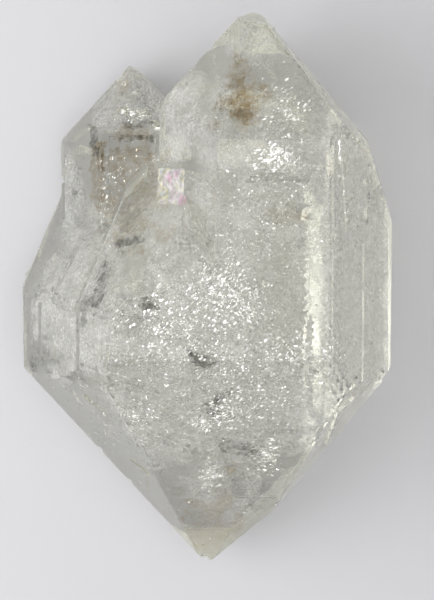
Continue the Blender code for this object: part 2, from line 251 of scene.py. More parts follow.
def fine_skin(node):
    """The node's own faces in small even triangles: places in millimetres, faces and sharp edges."""
    shape = bmesh.new()
    shape.from_mesh(node.data)
    bmesh.ops.scale(shape, vec=(1 / MM, 1 / MM, 1 / MM), verts=shape.verts)
    bmesh.ops.remove_doubles(shape, verts=shape.verts, dist=WELD)
    bmesh.ops.dissolve_degenerate(shape, edges=shape.edges, dist=WELD)
    shape.verts.index_update()
    shape.edges.index_update()
    shape.normal_update()
    patches, patch_of = flat_patches(shape)
    places = [vert.co.copy() for vert in shape.verts]
    split = {}
    sharp = []
    for edge in shape.edges:
        if len({patch_of[face] for face in edge.link_faces}) < 2:
            continue
        first, last = edge.verts
        parts = max(1, round(edge.calc_length() / SKIN_STEP))
        row = [first.index]
        for part in range(1, parts):
            row.append(len(places))
            places.append(first.co.lerp(last.co, part / parts))
        row.append(last.index)
        split[edge.index] = list(zip(row[:-1], row[1:]))
        if edge.calc_face_angle() > SHARP_EDGE:
            sharp.extend(split[edge.index])
    triangles = []
    outward = []
    for patch in patches:
        edges = sorted({edge.index for face in patch for edge in face.edges} & split.keys())
        pairs = [pair for index in edges for pair in split[index]]
        up = max(patch, key=lambda face: face.calc_area()).normal
        across = up.orthogonal().normalized()
        along = up.cross(across)
        origin = patch[0].verts[0].co
        known = sorted({index for pair in pairs for index in pair})
        order = {index: number for number, index in enumerate(known)}
        offsets = [places[i] - origin for i in known]
        rim = np.array([(offset.dot(across), offset.dot(along)) for offset in offsets])
        pairs = [(order[first], order[last]) for first, last in pairs]
        starts = rim[[pair[0] for pair in pairs]]
        ends = rim[[pair[1] for pair in pairs]]
        extra = laid_out_points(rim, starts, ends, SKIN_STEP)
        for u, v in extra:
            known.append(len(places))
            places.append(origin + across * u + along * v)
        spots = np.concatenate([rim, extra])
        laid_out = delaunay_2d_cdt([Vector(spot) for spot in spots], pairs, [], 0, SAME_SPOT, True)
        pieces, sources = laid_out[2:4]
        corners = np.array([[sources[i][0] for i in piece] for piece in pieces])
        first, second, third = (spots[corners[:, i]] for i in range(3))
        wide = np.maximum(np.linalg.norm(second - first, axis=1), np.linalg.norm(third - first, axis=1))
        high = np.abs(np.cross(second - first, third - first)) / wide
        inside = inside_outline((first + second + third) / 3, starts, ends) & (high > SLIVER)
        for piece in corners[inside]:
            triangles.append([known[i] for i in piece])
            outward.append(up.copy())
    shape.free()
    return places, triangles, outward, sharp


def weathered(places, triangles, outward, sharp):
    """Moves the skin by hundredths of a millimetre: growth swells, fine ripples and worn edges."""
    pull = [Vector() for _ in places]
    for triangle, up in zip(triangles, outward):
        for index in triangle:
            if not pull[index].length or pull[index].normalized().dot(up) < SAME_WAY:
                pull[index] += up
    worn = set(index for edge in sharp for index in edge)
    moved = []
    for index, (place, way) in enumerate(zip(places, pull)):
        if not way.length:
            moved.append(place)
            continue
        way = way.normalized()
        swell = sum(height * noise.noise(place * rate) for height, rate in SKIN_WAVES)
        if index in worn:
            broad, fine = (height * abs(noise.noise(place * rate)) for height, rate in EDGE_WAVES)
            swell = -EDGE_WEAR * (0.5 + broad + fine)
        moved.append(place + way * swell)
    return moved


def share(value):
    """A number kept between 0, nothing, and 1, all."""
    return max(0.0, min(1.0, value))


def carries(mesh, name, domain, values):
    """Gives a mesh a number for each of its faces or points, under a name."""
    mesh.attributes.new(name, "FLOAT", domain).data.foreach_set("value", np.array(values, np.float32))


def shown(name, places, faces, material, sharp=()):
    """A visible mesh from places in millimetres."""
    mesh = bpy.data.meshes.new(name)
    mesh.from_pydata([Vector(place) * MM for place in places], [], faces)
    mesh.materials.append(material)
    mesh.update()
    if sharp:
        mesh.shade_smooth()
        edges = {tuple(sorted(edge.vertices)): edge.index for edge in mesh.edges}
        flags = np.zeros(len(mesh.edges), bool)
        for pair in sharp:
            flags[edges[tuple(sorted(pair))]] = True
        mesh.attributes.new("sharp_edge", "BOOLEAN", "EDGE").data.foreach_set("value", flags)
    made = bpy.data.objects.new(name, mesh)
    bpy.context.scene.collection.objects.link(made)
    return made


places, triangles, outward, sharp = fine_skin(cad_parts["quartz_cluster"])
places = weathered(places, triangles, outward, sharp)
crystal = shown("crystal", places, triangles, clear_quartz(), sharp)
carries(crystal.data, "dull", "FACE", [share(DULL_FLAT - DULL_LEAN * up.z) for up in outward])
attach(crystal, "root")
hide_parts("quartz_cluster")

# Healed veils. Cracks that opened while the crystals grew filled with quartz
# again and left wavy, half clear sheets full of tiny pale bubbles.
SEED = 20
CLEAR_RIM = 0.16
PROBE = Vector((0.31, 0.22, 0.92)).normalized()
VEIL_WHITE = (0.99, 0.99, 0.97, 1.0)
VEIL_STEPS = 34
VEIL_DRIFT = 7.3
VEIL_WAVES = ((2.4, 0.13), (0.7, 0.4))
VEIL_TATTERS = 0.35
VEIL_ROWS = (
    # x, y and z of the middle, turn and tilt of the way it faces, its two reaches and how dense it is
    (4.0, -12.0, 20.5, -12.0, -24.0, 9.0, 5.0, 0.75),
    (1.0, -20.0, 11.0, -8.0, -42.0, 5.0, 5.0, 0.6),
    (8.0, 6.0, 21.0, 14.0, 8.0, 8.0, 10.0, 0.45),
    (6.0, 19.0, 16.5, -10.0, 34.0, 8.0, 5.5, 0.6),
    (13.0, 2.0, 15.0, 38.0, -6.0, 9.0, 4.0, 0.5),
    (-15.0, -1.0, 11.0, -32.0, 8.0, 4.0, 7.0, 0.6),
    (0.0, 2.0, 8.0, 10.0, -8.0, 13.0, 12.0, 0.6),
    (2.0, -12.0, 6.5, -6.0, 10.0, 9.0, 9.0, 0.6),
    (6.0, 4.0, 14.0, 76.0, 12.0, 12.0, 7.0, 0.5),
    (3.0, 10.0, 14.0, 20.0, 66.0, 9.0, 7.0, 0.5),
)

chance = np.random.default_rng(SEED)
cad_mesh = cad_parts["quartz_cluster"].data
outside = BVHTree.FromPolygons(
    [vert.co / MM for vert in cad_mesh.vertices], [tuple(face.vertices) for face in cad_mesh.polygons]
)


def room_inside(place):
    """How far a point is below the skin, or zero where it is outside."""
    crossings = 0
    start = place
    while start:
        start = outside.ray_cast(start, PROBE)[0]
        if start:
            crossings += 1
            start = start + PROBE * SLIVER
    return outside.find_nearest(place)[3] if crossings % 2 else 0.0


def facing(turn, tilt):
    """The way something faces: turned from +Z towards +X, then tilted towards +Y, in degrees."""
    turn = math.radians(turn)
    tilt = math.radians(tilt)
    return Vector((math.sin(turn) * math.cos(tilt), math.sin(tilt), math.cos(turn) * math.cos(tilt)))


def pale_bubbles(finish, colour, share_through, cover):
    """Ends a finish of tiny bubbles: pale and dull, lit from both sides, clear in between."""
    lit = finish.node("ShaderNodeBsdfDiffuse", {}, {"Color": colour})
    through = finish.node("ShaderNodeBsdfTranslucent", {}, {"Color": colour})
    both = finish.node("ShaderNodeMixShader", {}, {"Fac": share_through, 1: lit, 2: through})
    clear = finish.node("ShaderNodeBsdfTransparent")
    sheet = finish.node("ShaderNodeMixShader", {}, {"Fac": cover, 1: clear, 2: both})
    finish.node("ShaderNodeOutputMaterial", {}, {"Surface": sheet})


def bubbly_veil():
    """Tiny bubbles in a sheet, in clouds with clear gaps."""
    material, finish = new_finish("bubbly_veil")
    place = finish.node("ShaderNodeTexCoord", output="Object")
    patches = rising(finish, uneven(finish, place, 210.0, 4.0, 0.65), 0.36, 0.66)
    grains = rising(finish, uneven(finish, place, 2100.0, 1.0), 0.45, 0.62)
    cover = on_mesh(finish, "thickness") * patches * (0.28 + 0.6 * grains)
    pale_bubbles(finish, VEIL_WHITE, 0.5, cover)
    return material


def veil_sheet(row, number):
    """One wavy sheet inside the crystals: its places, triangles and how dense it is at each place."""
    x, y, z, turn, tilt, reach, side_reach, density = row
    out = facing(turn, tilt)
    across = Vector((0.0, 1.0, 0.0)).cross(out).normalized()
    along = out.cross(across)
    spots = []
    dense = []
    for i in range(VEIL_STEPS + 1):
        for j in range(VEIL_STEPS + 1):
            u = 2.0 * i / VEIL_STEPS - 1.0
            v = 2.0 * j / VEIL_STEPS - 1.0
            spot = Vector((x, y, z)) + across * (u * reach) + along * (v * side_reach)
            drift = Vector((0.0, 0.0, VEIL_DRIFT * number))
            wave = sum(height * noise.noise(spot * rate + drift) for height, rate in VEIL_WAVES)
            spot = spot + out * (wave + noise.noise(spot * 1.3) * 0.12)
            edge = 1.0 + VEIL_TATTERS * noise.noise(spot * 0.35) - math.hypot(u, v)
            held = density * share(edge * 2.5)
            spots.append(spot)
            dense.append(held if room_inside(spot) > CLEAR_RIM else -1.0)
    faces = []
    row_length = VEIL_STEPS + 1
    for i in range(VEIL_STEPS):
        for j in range(VEIL_STEPS):
            corner = i * row_length + j
            ring = (corner, corner + 1, corner + row_length + 1, corner + row_length)
            for face in ((ring[0], ring[1], ring[2]), (ring[0], ring[2], ring[3])):
                held = [dense[k] for k in face]
                if min(held) >= 0.0 and max(held) > 0.0:
                    faces.append(face)
    return spots, faces, dense


def used_only(spots, faces, dense):
    """Drops the places that no face uses."""
    used = sorted({k for face in faces for k in face})
    order = {k: number for number, k in enumerate(used)}
    renamed = [tuple(order[k] for k in face) for face in faces]
    return [spots[k] for k in used], renamed, [dense[k] for k in used]


def gathered(sheets):
    """Several sheets as one list of places, of faces and of how dense each place is."""
    spots, faces, dense = [], [], []
    for more_spots, more_faces, more_dense in sheets:
        more_spots, more_faces, more_dense = used_only(more_spots, more_faces, more_dense)
        faces.extend(tuple(k + len(spots) for k in face) for face in more_faces)
        spots.extend(more_spots)
        dense.extend(more_dense)
    return spots, faces, dense


def inner_sheet(name, sheets, material):
    """A smooth mesh of sheets inside the crystal, with its thickness on the points.

    It casts no shadow of its own, because the skin of the crystal already stops that light.
    """
    spots, faces, dense = gathered(sheets)
    made = shown(name, spots, faces, material)
    made.data.shade_smooth()
    carries(made.data, "thickness", "POINT", dense)
    made.visible_shadow = False
    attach(made, "root")
    return made


veils = [veil_sheet(row, number) for number, row in enumerate(VEIL_ROWS)]
inner_sheet("healed_veils", veils, bubbly_veil())

# Milky clouds. Close under the front faces the quartz is full of bubbles too small to
# see, in mottled and streaked clouds that make most of the crystal look like thin milk.
# Here and below, pieces are placed by where they show from the front, and by their depth.
RIM_SHARPNESS = 3.0
AIM = Vector((1.3, 0.16, 13.0))
CAMERA_RISE = math.radians(12.0)
CAMERA_DISTANCE = 400.0
LONGEST_STEP = 3.2
DEEPER = (0.0, 0.3, 0.7)
CLOUD_STEP = 0.42
CLOUD_REACH = (20.5, 32.0)
CLOUD_ROWS = (
    # across and up on the picture, reach across and up, lean of the reach and how milky
    (-2.2, -4.4, 9.0, 9.0, 40.0, 0.75),
    (3.5, -11.0, 13.0, 5.5, 8.0, 0.7),
    (-9.0, -12.5, 8.0, 5.0, -42.0, 0.7),
    (-14.5, -2.0, 5.5, 7.0, 0.0, 0.8),
    (-1.0, 6.0, 8.0, 8.0, -35.0, 0.55),
    (-13.0, 6.5, 4.0, 6.0, 10.0, 0.55),
    (-9.5, 21.5, 4.5, 4.5, 0.0, 0.5),
    (8.0, 14.0, 9.0, 11.0, 0.0, 0.34),
    (2.8, 18.4, 5.0, 5.5, 0.0, 0.4),
    (13.9, 2.0, 3.0, 17.0, 0.0, 0.95),
    (-4.0, 19.0, 3.8, 6.0, -20.0, 0.75),
    (5.2, 27.8, 5.0, 4.2, 0.0, 0.36),
    (-15.8, 11.5, 2.0, 5.4, 0.0, 0.75),
    (-13.6, -12.0, 6.4, 2.2, -48.0, 0.75),
    (7.0, -8.5, 4.8, 3.6, 0.0, 0.6),
    (14.2, 17.0, 3.2, 6.0, 30.0, 0.7),
    (18.0, -1.0, 2.4, 13.0, 0.0, 0.8),
    (12.0, 0.0, 8.0, 14.0, 0.0, 0.34),
    (1.0, -20.0, 5.0, 5.0, 0.0, 0.4),
    (12.4, -11.0, 4.0, 7.5, -42.0, 0.9),
    (14.4, 1.0, 3.4, 15.0, 0.0, 0.5),
)
CLOUD_LAYERS = (
    # shallowest, deepest and which drift of the unevenness
    (0.9, 1.9, 0.0),
    (2.6, 4.2, 41.0),
)
CLOUD_STREAKS = ((-40.0, 0.35 * MM), (38.0, 0.3 * MM))
CLOUD_WHITE = (0.99, 0.99, 0.965, 1.0)

back = Vector((0.0, math.sin(CAMERA_RISE), math.cos(CAMERA_RISE)))
upward = Vector((0.0, math.cos(CAMERA_RISE), -math.sin(CAMERA_RISE)))
rightward = Vector((1.0, 0.0, 0.0))


def seen_inside(across, up, depth, clear=CLEAR_RIM):
    """The point below the skin, at a depth, that shows at a place on the picture plane."""
    eye = AIM + back * CAMERA_DISTANCE
    way = (AIM + rightward * across + upward * up - eye).normalized()
    hit, normal, _, _ = outside.ray_cast(eye, way)
    if hit is None:
        return None
    ratio = 1.0 / QUARTZ_IOR
    cosine = -way.dot(normal)
    inward = ratio * cosine - math.sqrt(1.0 - ratio * ratio * (1.0 - cosine * cosine))
    bent = way * ratio + normal * inward
    for deeper in DEEPER:
        spot = hit + bent * (depth + deeper)
        if room_inside(spot) > clear:
            return spot
    return None


def laid_sheet(across, up, wide, high, lean, shallow, deep, step, drift, ragged=0.35):
    """A wavy sheet that shows as an ellipse on the picture: its places, triangles and fading rim."""
    turn = math.radians(lean)
    columns = max(4, round(2.0 * wide / step))
    rows = max(4, round(2.0 * high / step))
    spots, fade, number = [], [], {}
    for i in range(columns + 1):
        for j in range(rows + 1):
            a = 2.0 * i / columns - 1.0
            b = 2.0 * j / rows - 1.0
            x = across + wide * a * math.cos(turn) - high * b * math.sin(turn)
            y = up + wide * a * math.sin(turn) + high * b * math.cos(turn)
            tatters = noise.noise(Vector((x * 0.5, y * 0.5, drift)))
            tatters += 0.6 * noise.noise(Vector((x * 1.6, y * 1.6, drift)))
            rim = 1.0 - math.hypot(a, b) + ragged * tatters
            if ragged and rim < -0.02:
                continue
            wave = 0.5 + 0.8 * noise.noise(Vector((x * 0.22, y * 0.22, drift + 5.0)))
            spot = seen_inside(x, y, shallow + (deep - shallow) * share(wave))
            if spot:
                number[i, j] = len(spots)
                spots.append(spot)
                fade.append(share(rim * RIM_SHARPNESS) if ragged else 1.0)
    faces = []
    for i, j in number:
        ring = [number.get(place) for place in ((i, j), (i + 1, j), (i + 1, j + 1), (i, j + 1))]
        for face in ((ring[0], ring[1], ring[2]), (ring[0], ring[2], ring[3])):
            if None in face:
                continue
            sides = [(spots[face[k]] - spots[face[k - 1]]).length for k in range(3)]
            if max(sides) < LONGEST_STEP * step:
                faces.append(face)
    return spots, faces, fade


def milky():
    """Bubbles too small to see: pale, half clear, mottled, in faint slanting streaks."""
    material, finish = new_finish("milky_clouds")
    place = finish.node("ShaderNodeTexCoord", output="Object")
    mottled = rising(finish, uneven(finish, place, 430.0, 3.0, 0.75), 0.36, 0.66)
    grains = rising(finish, uneven(finish, place, 3600.0, 0.0), 0.46, 0.62)
    streaks = 0.0
    for lean, size in CLOUD_STREAKS:
        along = finish.node(
            "ShaderNodeMapping",
            {"vector_type": "TEXTURE"},
            {
                "Vector": place,
                "Rotation": (0.0, 0.0, math.radians(lean)),
                "Scale": (9.0 * size, size, 5.0 * size),
            },
        )
        streaks = uneven(finish, along, 1.0, 1.0) + streaks
    streaked = rising(finish, streaks, 0.85, 1.3)
    mixed = 0.14 + 0.55 * mottled + 0.35 * streaked * grains + 0.25 * grains * mottled
    pale_bubbles(finish, CLOUD_WHITE, 0.3, on_mesh(finish, "thickness") * mixed)
    return material


def milk_at(across, up, drift):
    """How milky the quartz is at a place on the picture: the clouds that overlap there, together."""
    clear = 1.0
    for number, (middle, height, wide, high, lean, milk) in enumerate(CLOUD_ROWS):
        turn = math.radians(lean)
        a = ((across - middle) * math.cos(turn) + (up - height) * math.sin(turn)) / wide
        b = ((up - height) * math.cos(turn) - (across - middle) * math.sin(turn)) / high
        tatters = noise.noise(Vector((across * 0.5, up * 0.5, drift + number)))
        rim = 1.0 - math.hypot(a, b) + 0.35 * tatters
        clear *= 1.0 - milk * share(rim * RIM_SHARPNESS)
    return 1.0 - clear


clouds = []
for shallow, deep, drift in CLOUD_LAYERS:
    spots, faces, _ = laid_sheet(0.0, 0.6, *CLOUD_REACH, 0.0, shallow, deep, CLOUD_STEP, drift, 0.0)
    away = [spot - AIM for spot in spots]
    clouds.append((spots, faces, [milk_at(way.dot(rightward), way.dot(upward), drift) for way in away]))
inner_sheet("milky_clouds", clouds, milky())

# Brown stains and painted grey shade. See-through films of iron rust dried in old cracks,
# and grey see-through films of painted shade; both only tint what is behind them.
BROWN = (0.75, 0.67, 0.54, 1.0)
# painted shade: the grey of the see-through films laid where the crystal looks darker
PAINTED_SHADE_GREY = (0.28, 0.28, 0.26, 1.0)
STAIN_AND_SHADE_STEP = 0.3
STAIN_AND_SHADE_FADE = 1.4
STAIN_AND_SHADE_WAVE = 0.3
STAIN_AND_SHADE_RAGGED = 1.1
BROWN_ROWS = (
    # across and up on the picture, reach across and up, lean, depth and strength
    (2.6, 23.6, 1.2, 3.2, 6.0, 0.8, 1.0),
    (3.4, 21.9, 2.0, 1.9, 20.0, 1.0, 1.0),
    (1.8, 21.0, 1.5, 2.0, -20.0, 2.0, 0.7),
    (-9.2, 12.2, 3.4, 5.2, 0.0, 1.2, 0.75),
    (-13.0, 13.0, 0.8, 3.9, 4.0, 0.8, 0.95),
    (-9.0, 18.0, 1.5, 0.5, 0.0, 0.5, 1.0),
    (-8.4, 16.0, 2.2, 1.6, 0.0, 1.0, 0.6),
    (7.8, 9.7, 1.6, 1.3, 0.0, 1.5, 0.5),
    (1.8, -18.2, 0.7, 0.5, 30.0, 0.8, 0.8),
    (-11.2, 25.0, 2.6, 2.6, 40.0, 1.2, 0.3),
    (-0.6, -25.4, 3.8, 3.4, 0.0, 0.8, 0.55),
)
PAINTED_SHADE_ROWS = (
    (-18.6, -5.9, 1.5, 1.7, 0.0, 1.4, 0.6),
    (-7.5, -0.4, 0.8, 0.8, 30.0, 0.4, 1.0),
    (-1.4, -6.6, 1.5, 0.6, -12.0, 0.5, 0.95),
    (-2.9, -5.8, 0.6, 0.5, 0.0, 0.5, 0.8),
    (-0.4, -11.7, 0.8, 1.4, 50.0, 0.5, 0.8),
    (0.6, -10.6, 1.3, 0.5, 40.0, 0.5, 0.7),
    (2.5, -16.2, 1.9, 0.6, -8.0, 0.7, 0.7),
    (-10.6, -16.8, 3.4, 0.9, -36.0, 1.0, 0.5),
    (-12.6, 2.0, 0.6, 2.9, -26.0, 0.4, 0.95),
    (-14.6, -0.9, 0.5, 2.0, -12.0, 0.5, 0.7),
    (-9.7, 6.3, 1.3, 0.45, 12.0, 0.3, 1.0),
    (-8.9, 17.9, 1.4, 0.4, 0.0, 0.3, 0.85),
    (-13.6, 17.6, 0.4, 1.5, 4.0, 0.3, 0.9),
    (-7.7, 19.6, 0.9, 0.3, 20.0, 0.4, 0.8),
    (-9.9, 19.3, 0.9, 0.3, -15.0, 0.4, 0.8),
    (-7.2, 24.6, 0.5, 0.9, 40.0, 0.4, 0.6),
    (-15.1, 12.6, 0.6, 1.1, 15.0, 0.7, 0.7),
    (-15.6, 11.7, 0.5, 0.5, 0.0, 0.7, 0.6),
    (-15.6, -8.8, 0.8, 1.3, 30.0, 0.6, 0.6),
    (5.2, -22.0, 1.2, 1.6, 40.0, 1.0, 0.3),
    (2.0, -19.9, 0.8, 1.2, 0.0, 1.0, 0.35),
    (-9.4, -9.2, 0.9, 0.3, -20.0, 0.6, 0.8),
    (-14.9, 8.9, 1.0, 2.4, 10.0, 1.0, 0.3),
    (-10.0, 9.0, 1.9, 1.0, 20.0, 0.7, 0.5),
)


def stain_and_shade_film(name, colour):
    """A see-through film that tints the light, thicker and thinner in feathery patches: brown stains
    and painted grey shade.
    """
    material, finish = new_finish(name)
    place = finish.node("ShaderNodeTexCoord", output="Object")
    patchy = rising(finish, uneven(finish, place, 1500.0, 4.0, 0.7), 0.4, 0.6)
    cover = on_mesh(finish, "thickness") * (0.2 + 0.8 * patchy)
    clear = finish.node("ShaderNodeBsdfTransparent")
    tinted = finish.node("ShaderNodeBsdfTransparent", {}, {"Color": colour})
    film = finish.node("ShaderNodeMixShader", {}, {"Fac": cover, 1: clear, 2: tinted})
    finish.node("ShaderNodeOutputMaterial", {}, {"Surface": film})
    return material


def stain_and_shade_sheets(rows, drift):
    """One ragged film for each row, its rim fading well outside its reaches."""
    sheets = []
    for number, (across, up, wide, high, lean, depth, strength) in enumerate(rows):
        reaches = (wide * STAIN_AND_SHADE_FADE, high * STAIN_AND_SHADE_FADE)
        depths = (depth, depth + STAIN_AND_SHADE_WAVE)
        own_drift = drift + 3 * number
        sheet = laid_sheet(across, up, *reaches, lean, *depths, STAIN_AND_SHADE_STEP, own_drift, STAIN_AND_SHADE_RAGGED)
        sheets.append((sheet[0], sheet[1], [strength * part for part in sheet[2]]))
    return sheets


inner_sheet("brown_stains", stain_and_shade_sheets(BROWN_ROWS, 11.0), stain_and_shade_film("brown_stain", BROWN))
# grey films of painted shade, not stains of the quartz
inner_sheet("painted_shade_films", stain_and_shade_sheets(PAINTED_SHADE_ROWS, 70.0), stain_and_shade_film("painted_shade_film", PAINTED_SHADE_GREY))

# Rainbow crack. A flat sliver of air, thinner than paper, that shows pink, yellow and
# pale blue where the light from its two sides meets.
RAINBOW_PLACE = (-5.1, 12.5)
RAINBOW_REACH = (1.45, 1.95)
RAINBOW_LEAN = -3.0
RAINBOW_DEPTH = 0.6
RAINBOW_STEP = 0.2
RAINBOW_DRIFT = 3.0
RAINBOW_STOPS = (
    (0.0, (0.90, 0.50, 0.70, 1.0)),
    (0.25, (0.97, 0.86, 0.91, 1.0)),
    (0.45, (0.98, 0.97, 0.94, 1.0)),
    (0.62, (0.98, 0.92, 0.60, 1.0)),
    (0.8, (0.98, 0.98, 0.95, 1.0)),
    (1.0, (0.80, 0.93, 0.97, 1.0)),
)


def rainbow():
    """Pale bands of pink and yellow on a half bright film, thinner in places."""
    material, finish = new_finish("rainbow_crack")
    place = finish.node("ShaderNodeTexCoord", output="Object")
    bands = rising(finish, uneven(finish, place, 430.0, 1.5), 0.32, 0.68, easing="LINEAR")
    colour = finish.node("ShaderNodeValToRGB", {"stops": RAINBOW_STOPS}, {"Fac": bands})
    cover = rising(finish, uneven(finish, place, 1500.0, 3.0), 0.36, 0.62, 0.35, 0.95, "LINEAR")
    shader = finish.node(
        "ShaderNodeBsdfPrincipled",
        {},
        {"Base Color": colour, "Metallic": 0.55, "Roughness": 0.42, "Alpha": cover},
    )
    finish.node("ShaderNodeOutputMaterial", {}, {"Surface": shader})
    return material


bright_sliver = laid_sheet(
    *RAINBOW_PLACE,
    *RAINBOW_REACH,
    RAINBOW_LEAN,
    RAINBOW_DEPTH,
    RAINBOW_DEPTH,
    RAINBOW_STEP,
    RAINBOW_DRIFT,
    0.0,
)
inner_sheet("rainbow_crack", [bright_sliver], rainbow())

# Bright open cracks. Larger gaps of air between torn faces of quartz, bent like shells,
# that mirror the light above.
MIRROR_STEPS = 14
MIRROR_WAVE = 0.1
MIRROR_SHARPNESS = 4.0
SHALLOWEST = 0.2
FEATHERING = 0.16
SILVER = (0.99, 0.99, 0.98, 1.0)
MIRROR_ROWS = (
    # across and up on the picture, reach across and up, lean, depth and strength
    (-8.7, 20.5, 1.5, 0.55, -6.0, 0.7, 1.0),
    (-10.2, 20.9, 0.8, 0.6, 30.0, 0.9, 0.9),
    (-10.7, 24.3, 0.75, 0.55, 60.0, 0.5, 1.0),
    (-9.3, 22.6, 1.2, 0.35, 35.0, 0.6, 0.7),
    (-6.6, 19.4, 0.5, 1.0, 20.0, 0.6, 0.8),
    (-14.0, 6.3, 1.9, 0.28, -36.0, 0.5, 1.0),
    (-13.2, 5.2, 1.7, 0.24, -38.0, 0.6, 1.0),
    (-10.8, 2.4, 0.45, 0.4, 0.0, 0.4, 1.0),
    (-6.7, 15.7, 0.8, 1.2, 30.0, 0.7, 0.55),
    (5.6, -15.4, 0.7, 0.5, 20.0, 0.5, 1.0),
    (5.9, -17.2, 1.1, 0.6, -20.0, 0.6, 0.9),
    (-0.8, -19.4, 0.6, 0.8, 10.0, 0.5, 1.0),
    (-0.4, -17.4, 1.4, 0.4, 30.0, 0.5, 0.7),
    (12.1, -9.9, 0.9, 0.25, 35.0, 0.5, 0.8),
    (13.5, 16.8, 0.3, 1.8, 8.0, 0.5, 0.6),
    (-6.4, 1.4, 0.9, 0.25, 50.0, 0.4, 0.7),
    (7.6, 22.3, 1.1, 0.3, 40.0, 0.6, 0.9),
    (8.8, 20.0, 1.2, 0.3, 25.0, 0.6, 0.9),
    (6.2, 15.8, 1.2, 0.3, 50.0, 0.7, 0.8),
    (7.8, 16.0, 0.6, 0.3, -30.0, 0.7, 0.9),
)


def silvery(name, ragged):
    """An air gap seen from inside quartz: a clean bright mirror, softer where it is feathered."""
    material, finish = new_finish(name)
    place = finish.node("ShaderNodeTexCoord", output="Object")
    feathers = uneven(finish, place, 2200.0)
    sockets = {"Base Color": SILVER, "Metallic": 1.0, "Roughness": feathers * FEATHERING}
    if ragged:
        torn = rising(finish, feathers, 0.38, 0.6, 0.1, 1.5, "LINEAR")
        sockets["Alpha"] = on_mesh(finish, "thickness") * torn
    shader = finish.node("ShaderNodeBsdfPrincipled", {}, sockets)
    finish.node("ShaderNodeOutputMaterial", {}, {"Surface": shader})
    return material


def mirror_sheet(number, across, up, wide, high, lean, depth, strength):
    """A small shell-like sheet that lies flat, half way between the viewer and the light above."""
    middle = seen_inside(across, up, depth)
    if middle is None:
        return [], [], []
    turn = math.radians(lean)
    flat = facing(0.0, math.degrees(CAMERA_RISE) / 2)
    long_way = rightward * math.cos(turn) + flat.cross(rightward) * math.sin(turn)
    side_way = flat.cross(long_way)
    spots, fade = [], []
    for i in range(MIRROR_STEPS + 1):
        for j in range(MIRROR_STEPS + 1):
            a = 2.0 * i / MIRROR_STEPS - 1.0
            b = 2.0 * j / MIRROR_STEPS - 1.0
            spot = middle + long_way * (wide * a) + side_way * (high * b)
            spot = spot + flat * (MIRROR_WAVE * noise.noise(spot * 1.9))
            rim = 1.0 - math.hypot(a, b) + 0.5 * noise.noise(spot * 2.3 + Vector((0.0, 0.0, number)))
            held = strength * share(rim * MIRROR_SHARPNESS)
            spots.append(spot)
            fade.append(held if room_inside(spot) > SHALLOWEST / 2 else -1.0)
    faces = []
    for i in range(MIRROR_STEPS):
        for j in range(MIRROR_STEPS):
            k = i * (MIRROR_STEPS + 1) + j
            ring = (k, k + 1, k + MIRROR_STEPS + 2, k + MIRROR_STEPS + 1)
            if min(fade[corner] for corner in ring) >= 0.0:
                faces.append(ring)
    return spots, faces, fade


mirrors = [mirror_sheet(number, *row) for number, row in enumerate(MIRROR_ROWS)]
inner_sheet("open_cracks", mirrors, silvery("torn_crack", True))

# Silvery flakes. Small curved splinters of crack that flash white or go dark as the
# crystal turns. They lie in clouds, many of them in line with the edges of the crystals.
FLAKE_SORTS = 6
FLAKE_CORNERS = 7
FLAKE_BEND = 0.25
FLAKE_SWELL = 0.35
FLAKE_THINNESS = 0.12
FLAKE_SPREAD = 0.22
LEAN_SPREAD = 0.35
MOSTLY_SHALLOW = 2.4
MOSTLY_SMALL = 2.1
FLAKE_ROWS = (
    # across and up on the picture, reach across and up, deepest, how many, smallest and largest, lean
    (0.0, 1.0, 20.0, 26.0, 2.5, 2600, 0.10, 0.42, 35.0),
    (7.6, 21.1, 2.6, 2.3, 2.5, 420, 0.14, 0.85, 35.0),
    (6.6, 15.7, 2.5, 1.9, 2.5, 380, 0.14, 0.80, 40.0),
    (7.0, 11.0, 8.0, 9.0, 3.0, 700, 0.11, 0.45, -30.0),
    (2.0, -9.9, 9.0, 4.6, 2.5, 2300, 0.12, 0.70, 38.0),
    (0.6, 1.6, 3.4, 3.2, 1.8, 900, 0.13, 0.70, 42.0),
    (3.4, -1.0, 2.8, 2.2, 1.8, 450, 0.12, 0.60, -40.0),
    (-4.6, -3.0, 6.0, 5.0, 2.5, 1500, 0.11, 0.60, 30.0),
    (9.0, -6.0, 5.0, 5.0, 2.5, 650, 0.11, 0.55, -35.0),
    (-10.0, -13.0, 4.5, 3.4, 2.0, 850, 0.12, 0.75, -40.0),
    (1.0, -12.0, 2.4, 1.6, 1.0, 420, 0.18, 0.95, 40.0),
    (-0.8, -19.2, 1.2, 1.7, 1.5, 240, 0.16, 0.85, 20.0),
    (5.3, -17.0, 1.8, 1.9, 1.5, 300, 0.16, 0.85, -20.0),
    (-0.8, -13.0, 2.2, 1.3, 1.2, 240, 0.15, 0.65, 35.0),
    (-10.9, 24.2, 0.8, 0.7, 1.2, 60, 0.14, 0.65, 60.0),
    (-9.0, 20.4, 1.8, 1.0, 1.2, 130, 0.14, 0.75, 20.0),
    (-13.4, 5.9, 1.8, 1.0, 1.0, 150, 0.15, 0.85, -36.0),
    (-12.0, 12.0, 4.0, 6.0, 2.0, 420, 0.11, 0.45, 60.0),
    (-14.0, -2.0, 4.0, 6.0, 2.0, 360, 0.11, 0.45, 50.0),
    (14.0, 6.0, 2.0, 12.0, 1.5, 260, 0.11, 0.45, 80.0),
)
STRAY_FLAKES = 2000
STRAY_SIZES = (0.08, 0.55)
STRAY_CLEAR = 0.4
STRAY_GAPS = -0.05
STRAYS_MOSTLY_SMALL = 4


def turned_mostly_up(count, leans):
    """Turns that lay the thin way of a piece near +Z and its long way near a lean in radians."""
    thin = np.concatenate([chance.normal(size=(count, 2)) * FLAKE_SPREAD, np.ones((count, 1))], axis=1)
    thin /= np.linalg.norm(thin, axis=1)[:, None]
    long_way = np.stack([np.cos(leans), np.sin(leans), np.zeros(count)], axis=1)
    side = np.cross(thin, long_way)
    side /= np.linalg.norm(side, axis=1)[:, None]
    return np.stack([np.cross(side, thin), side, thin], axis=2)


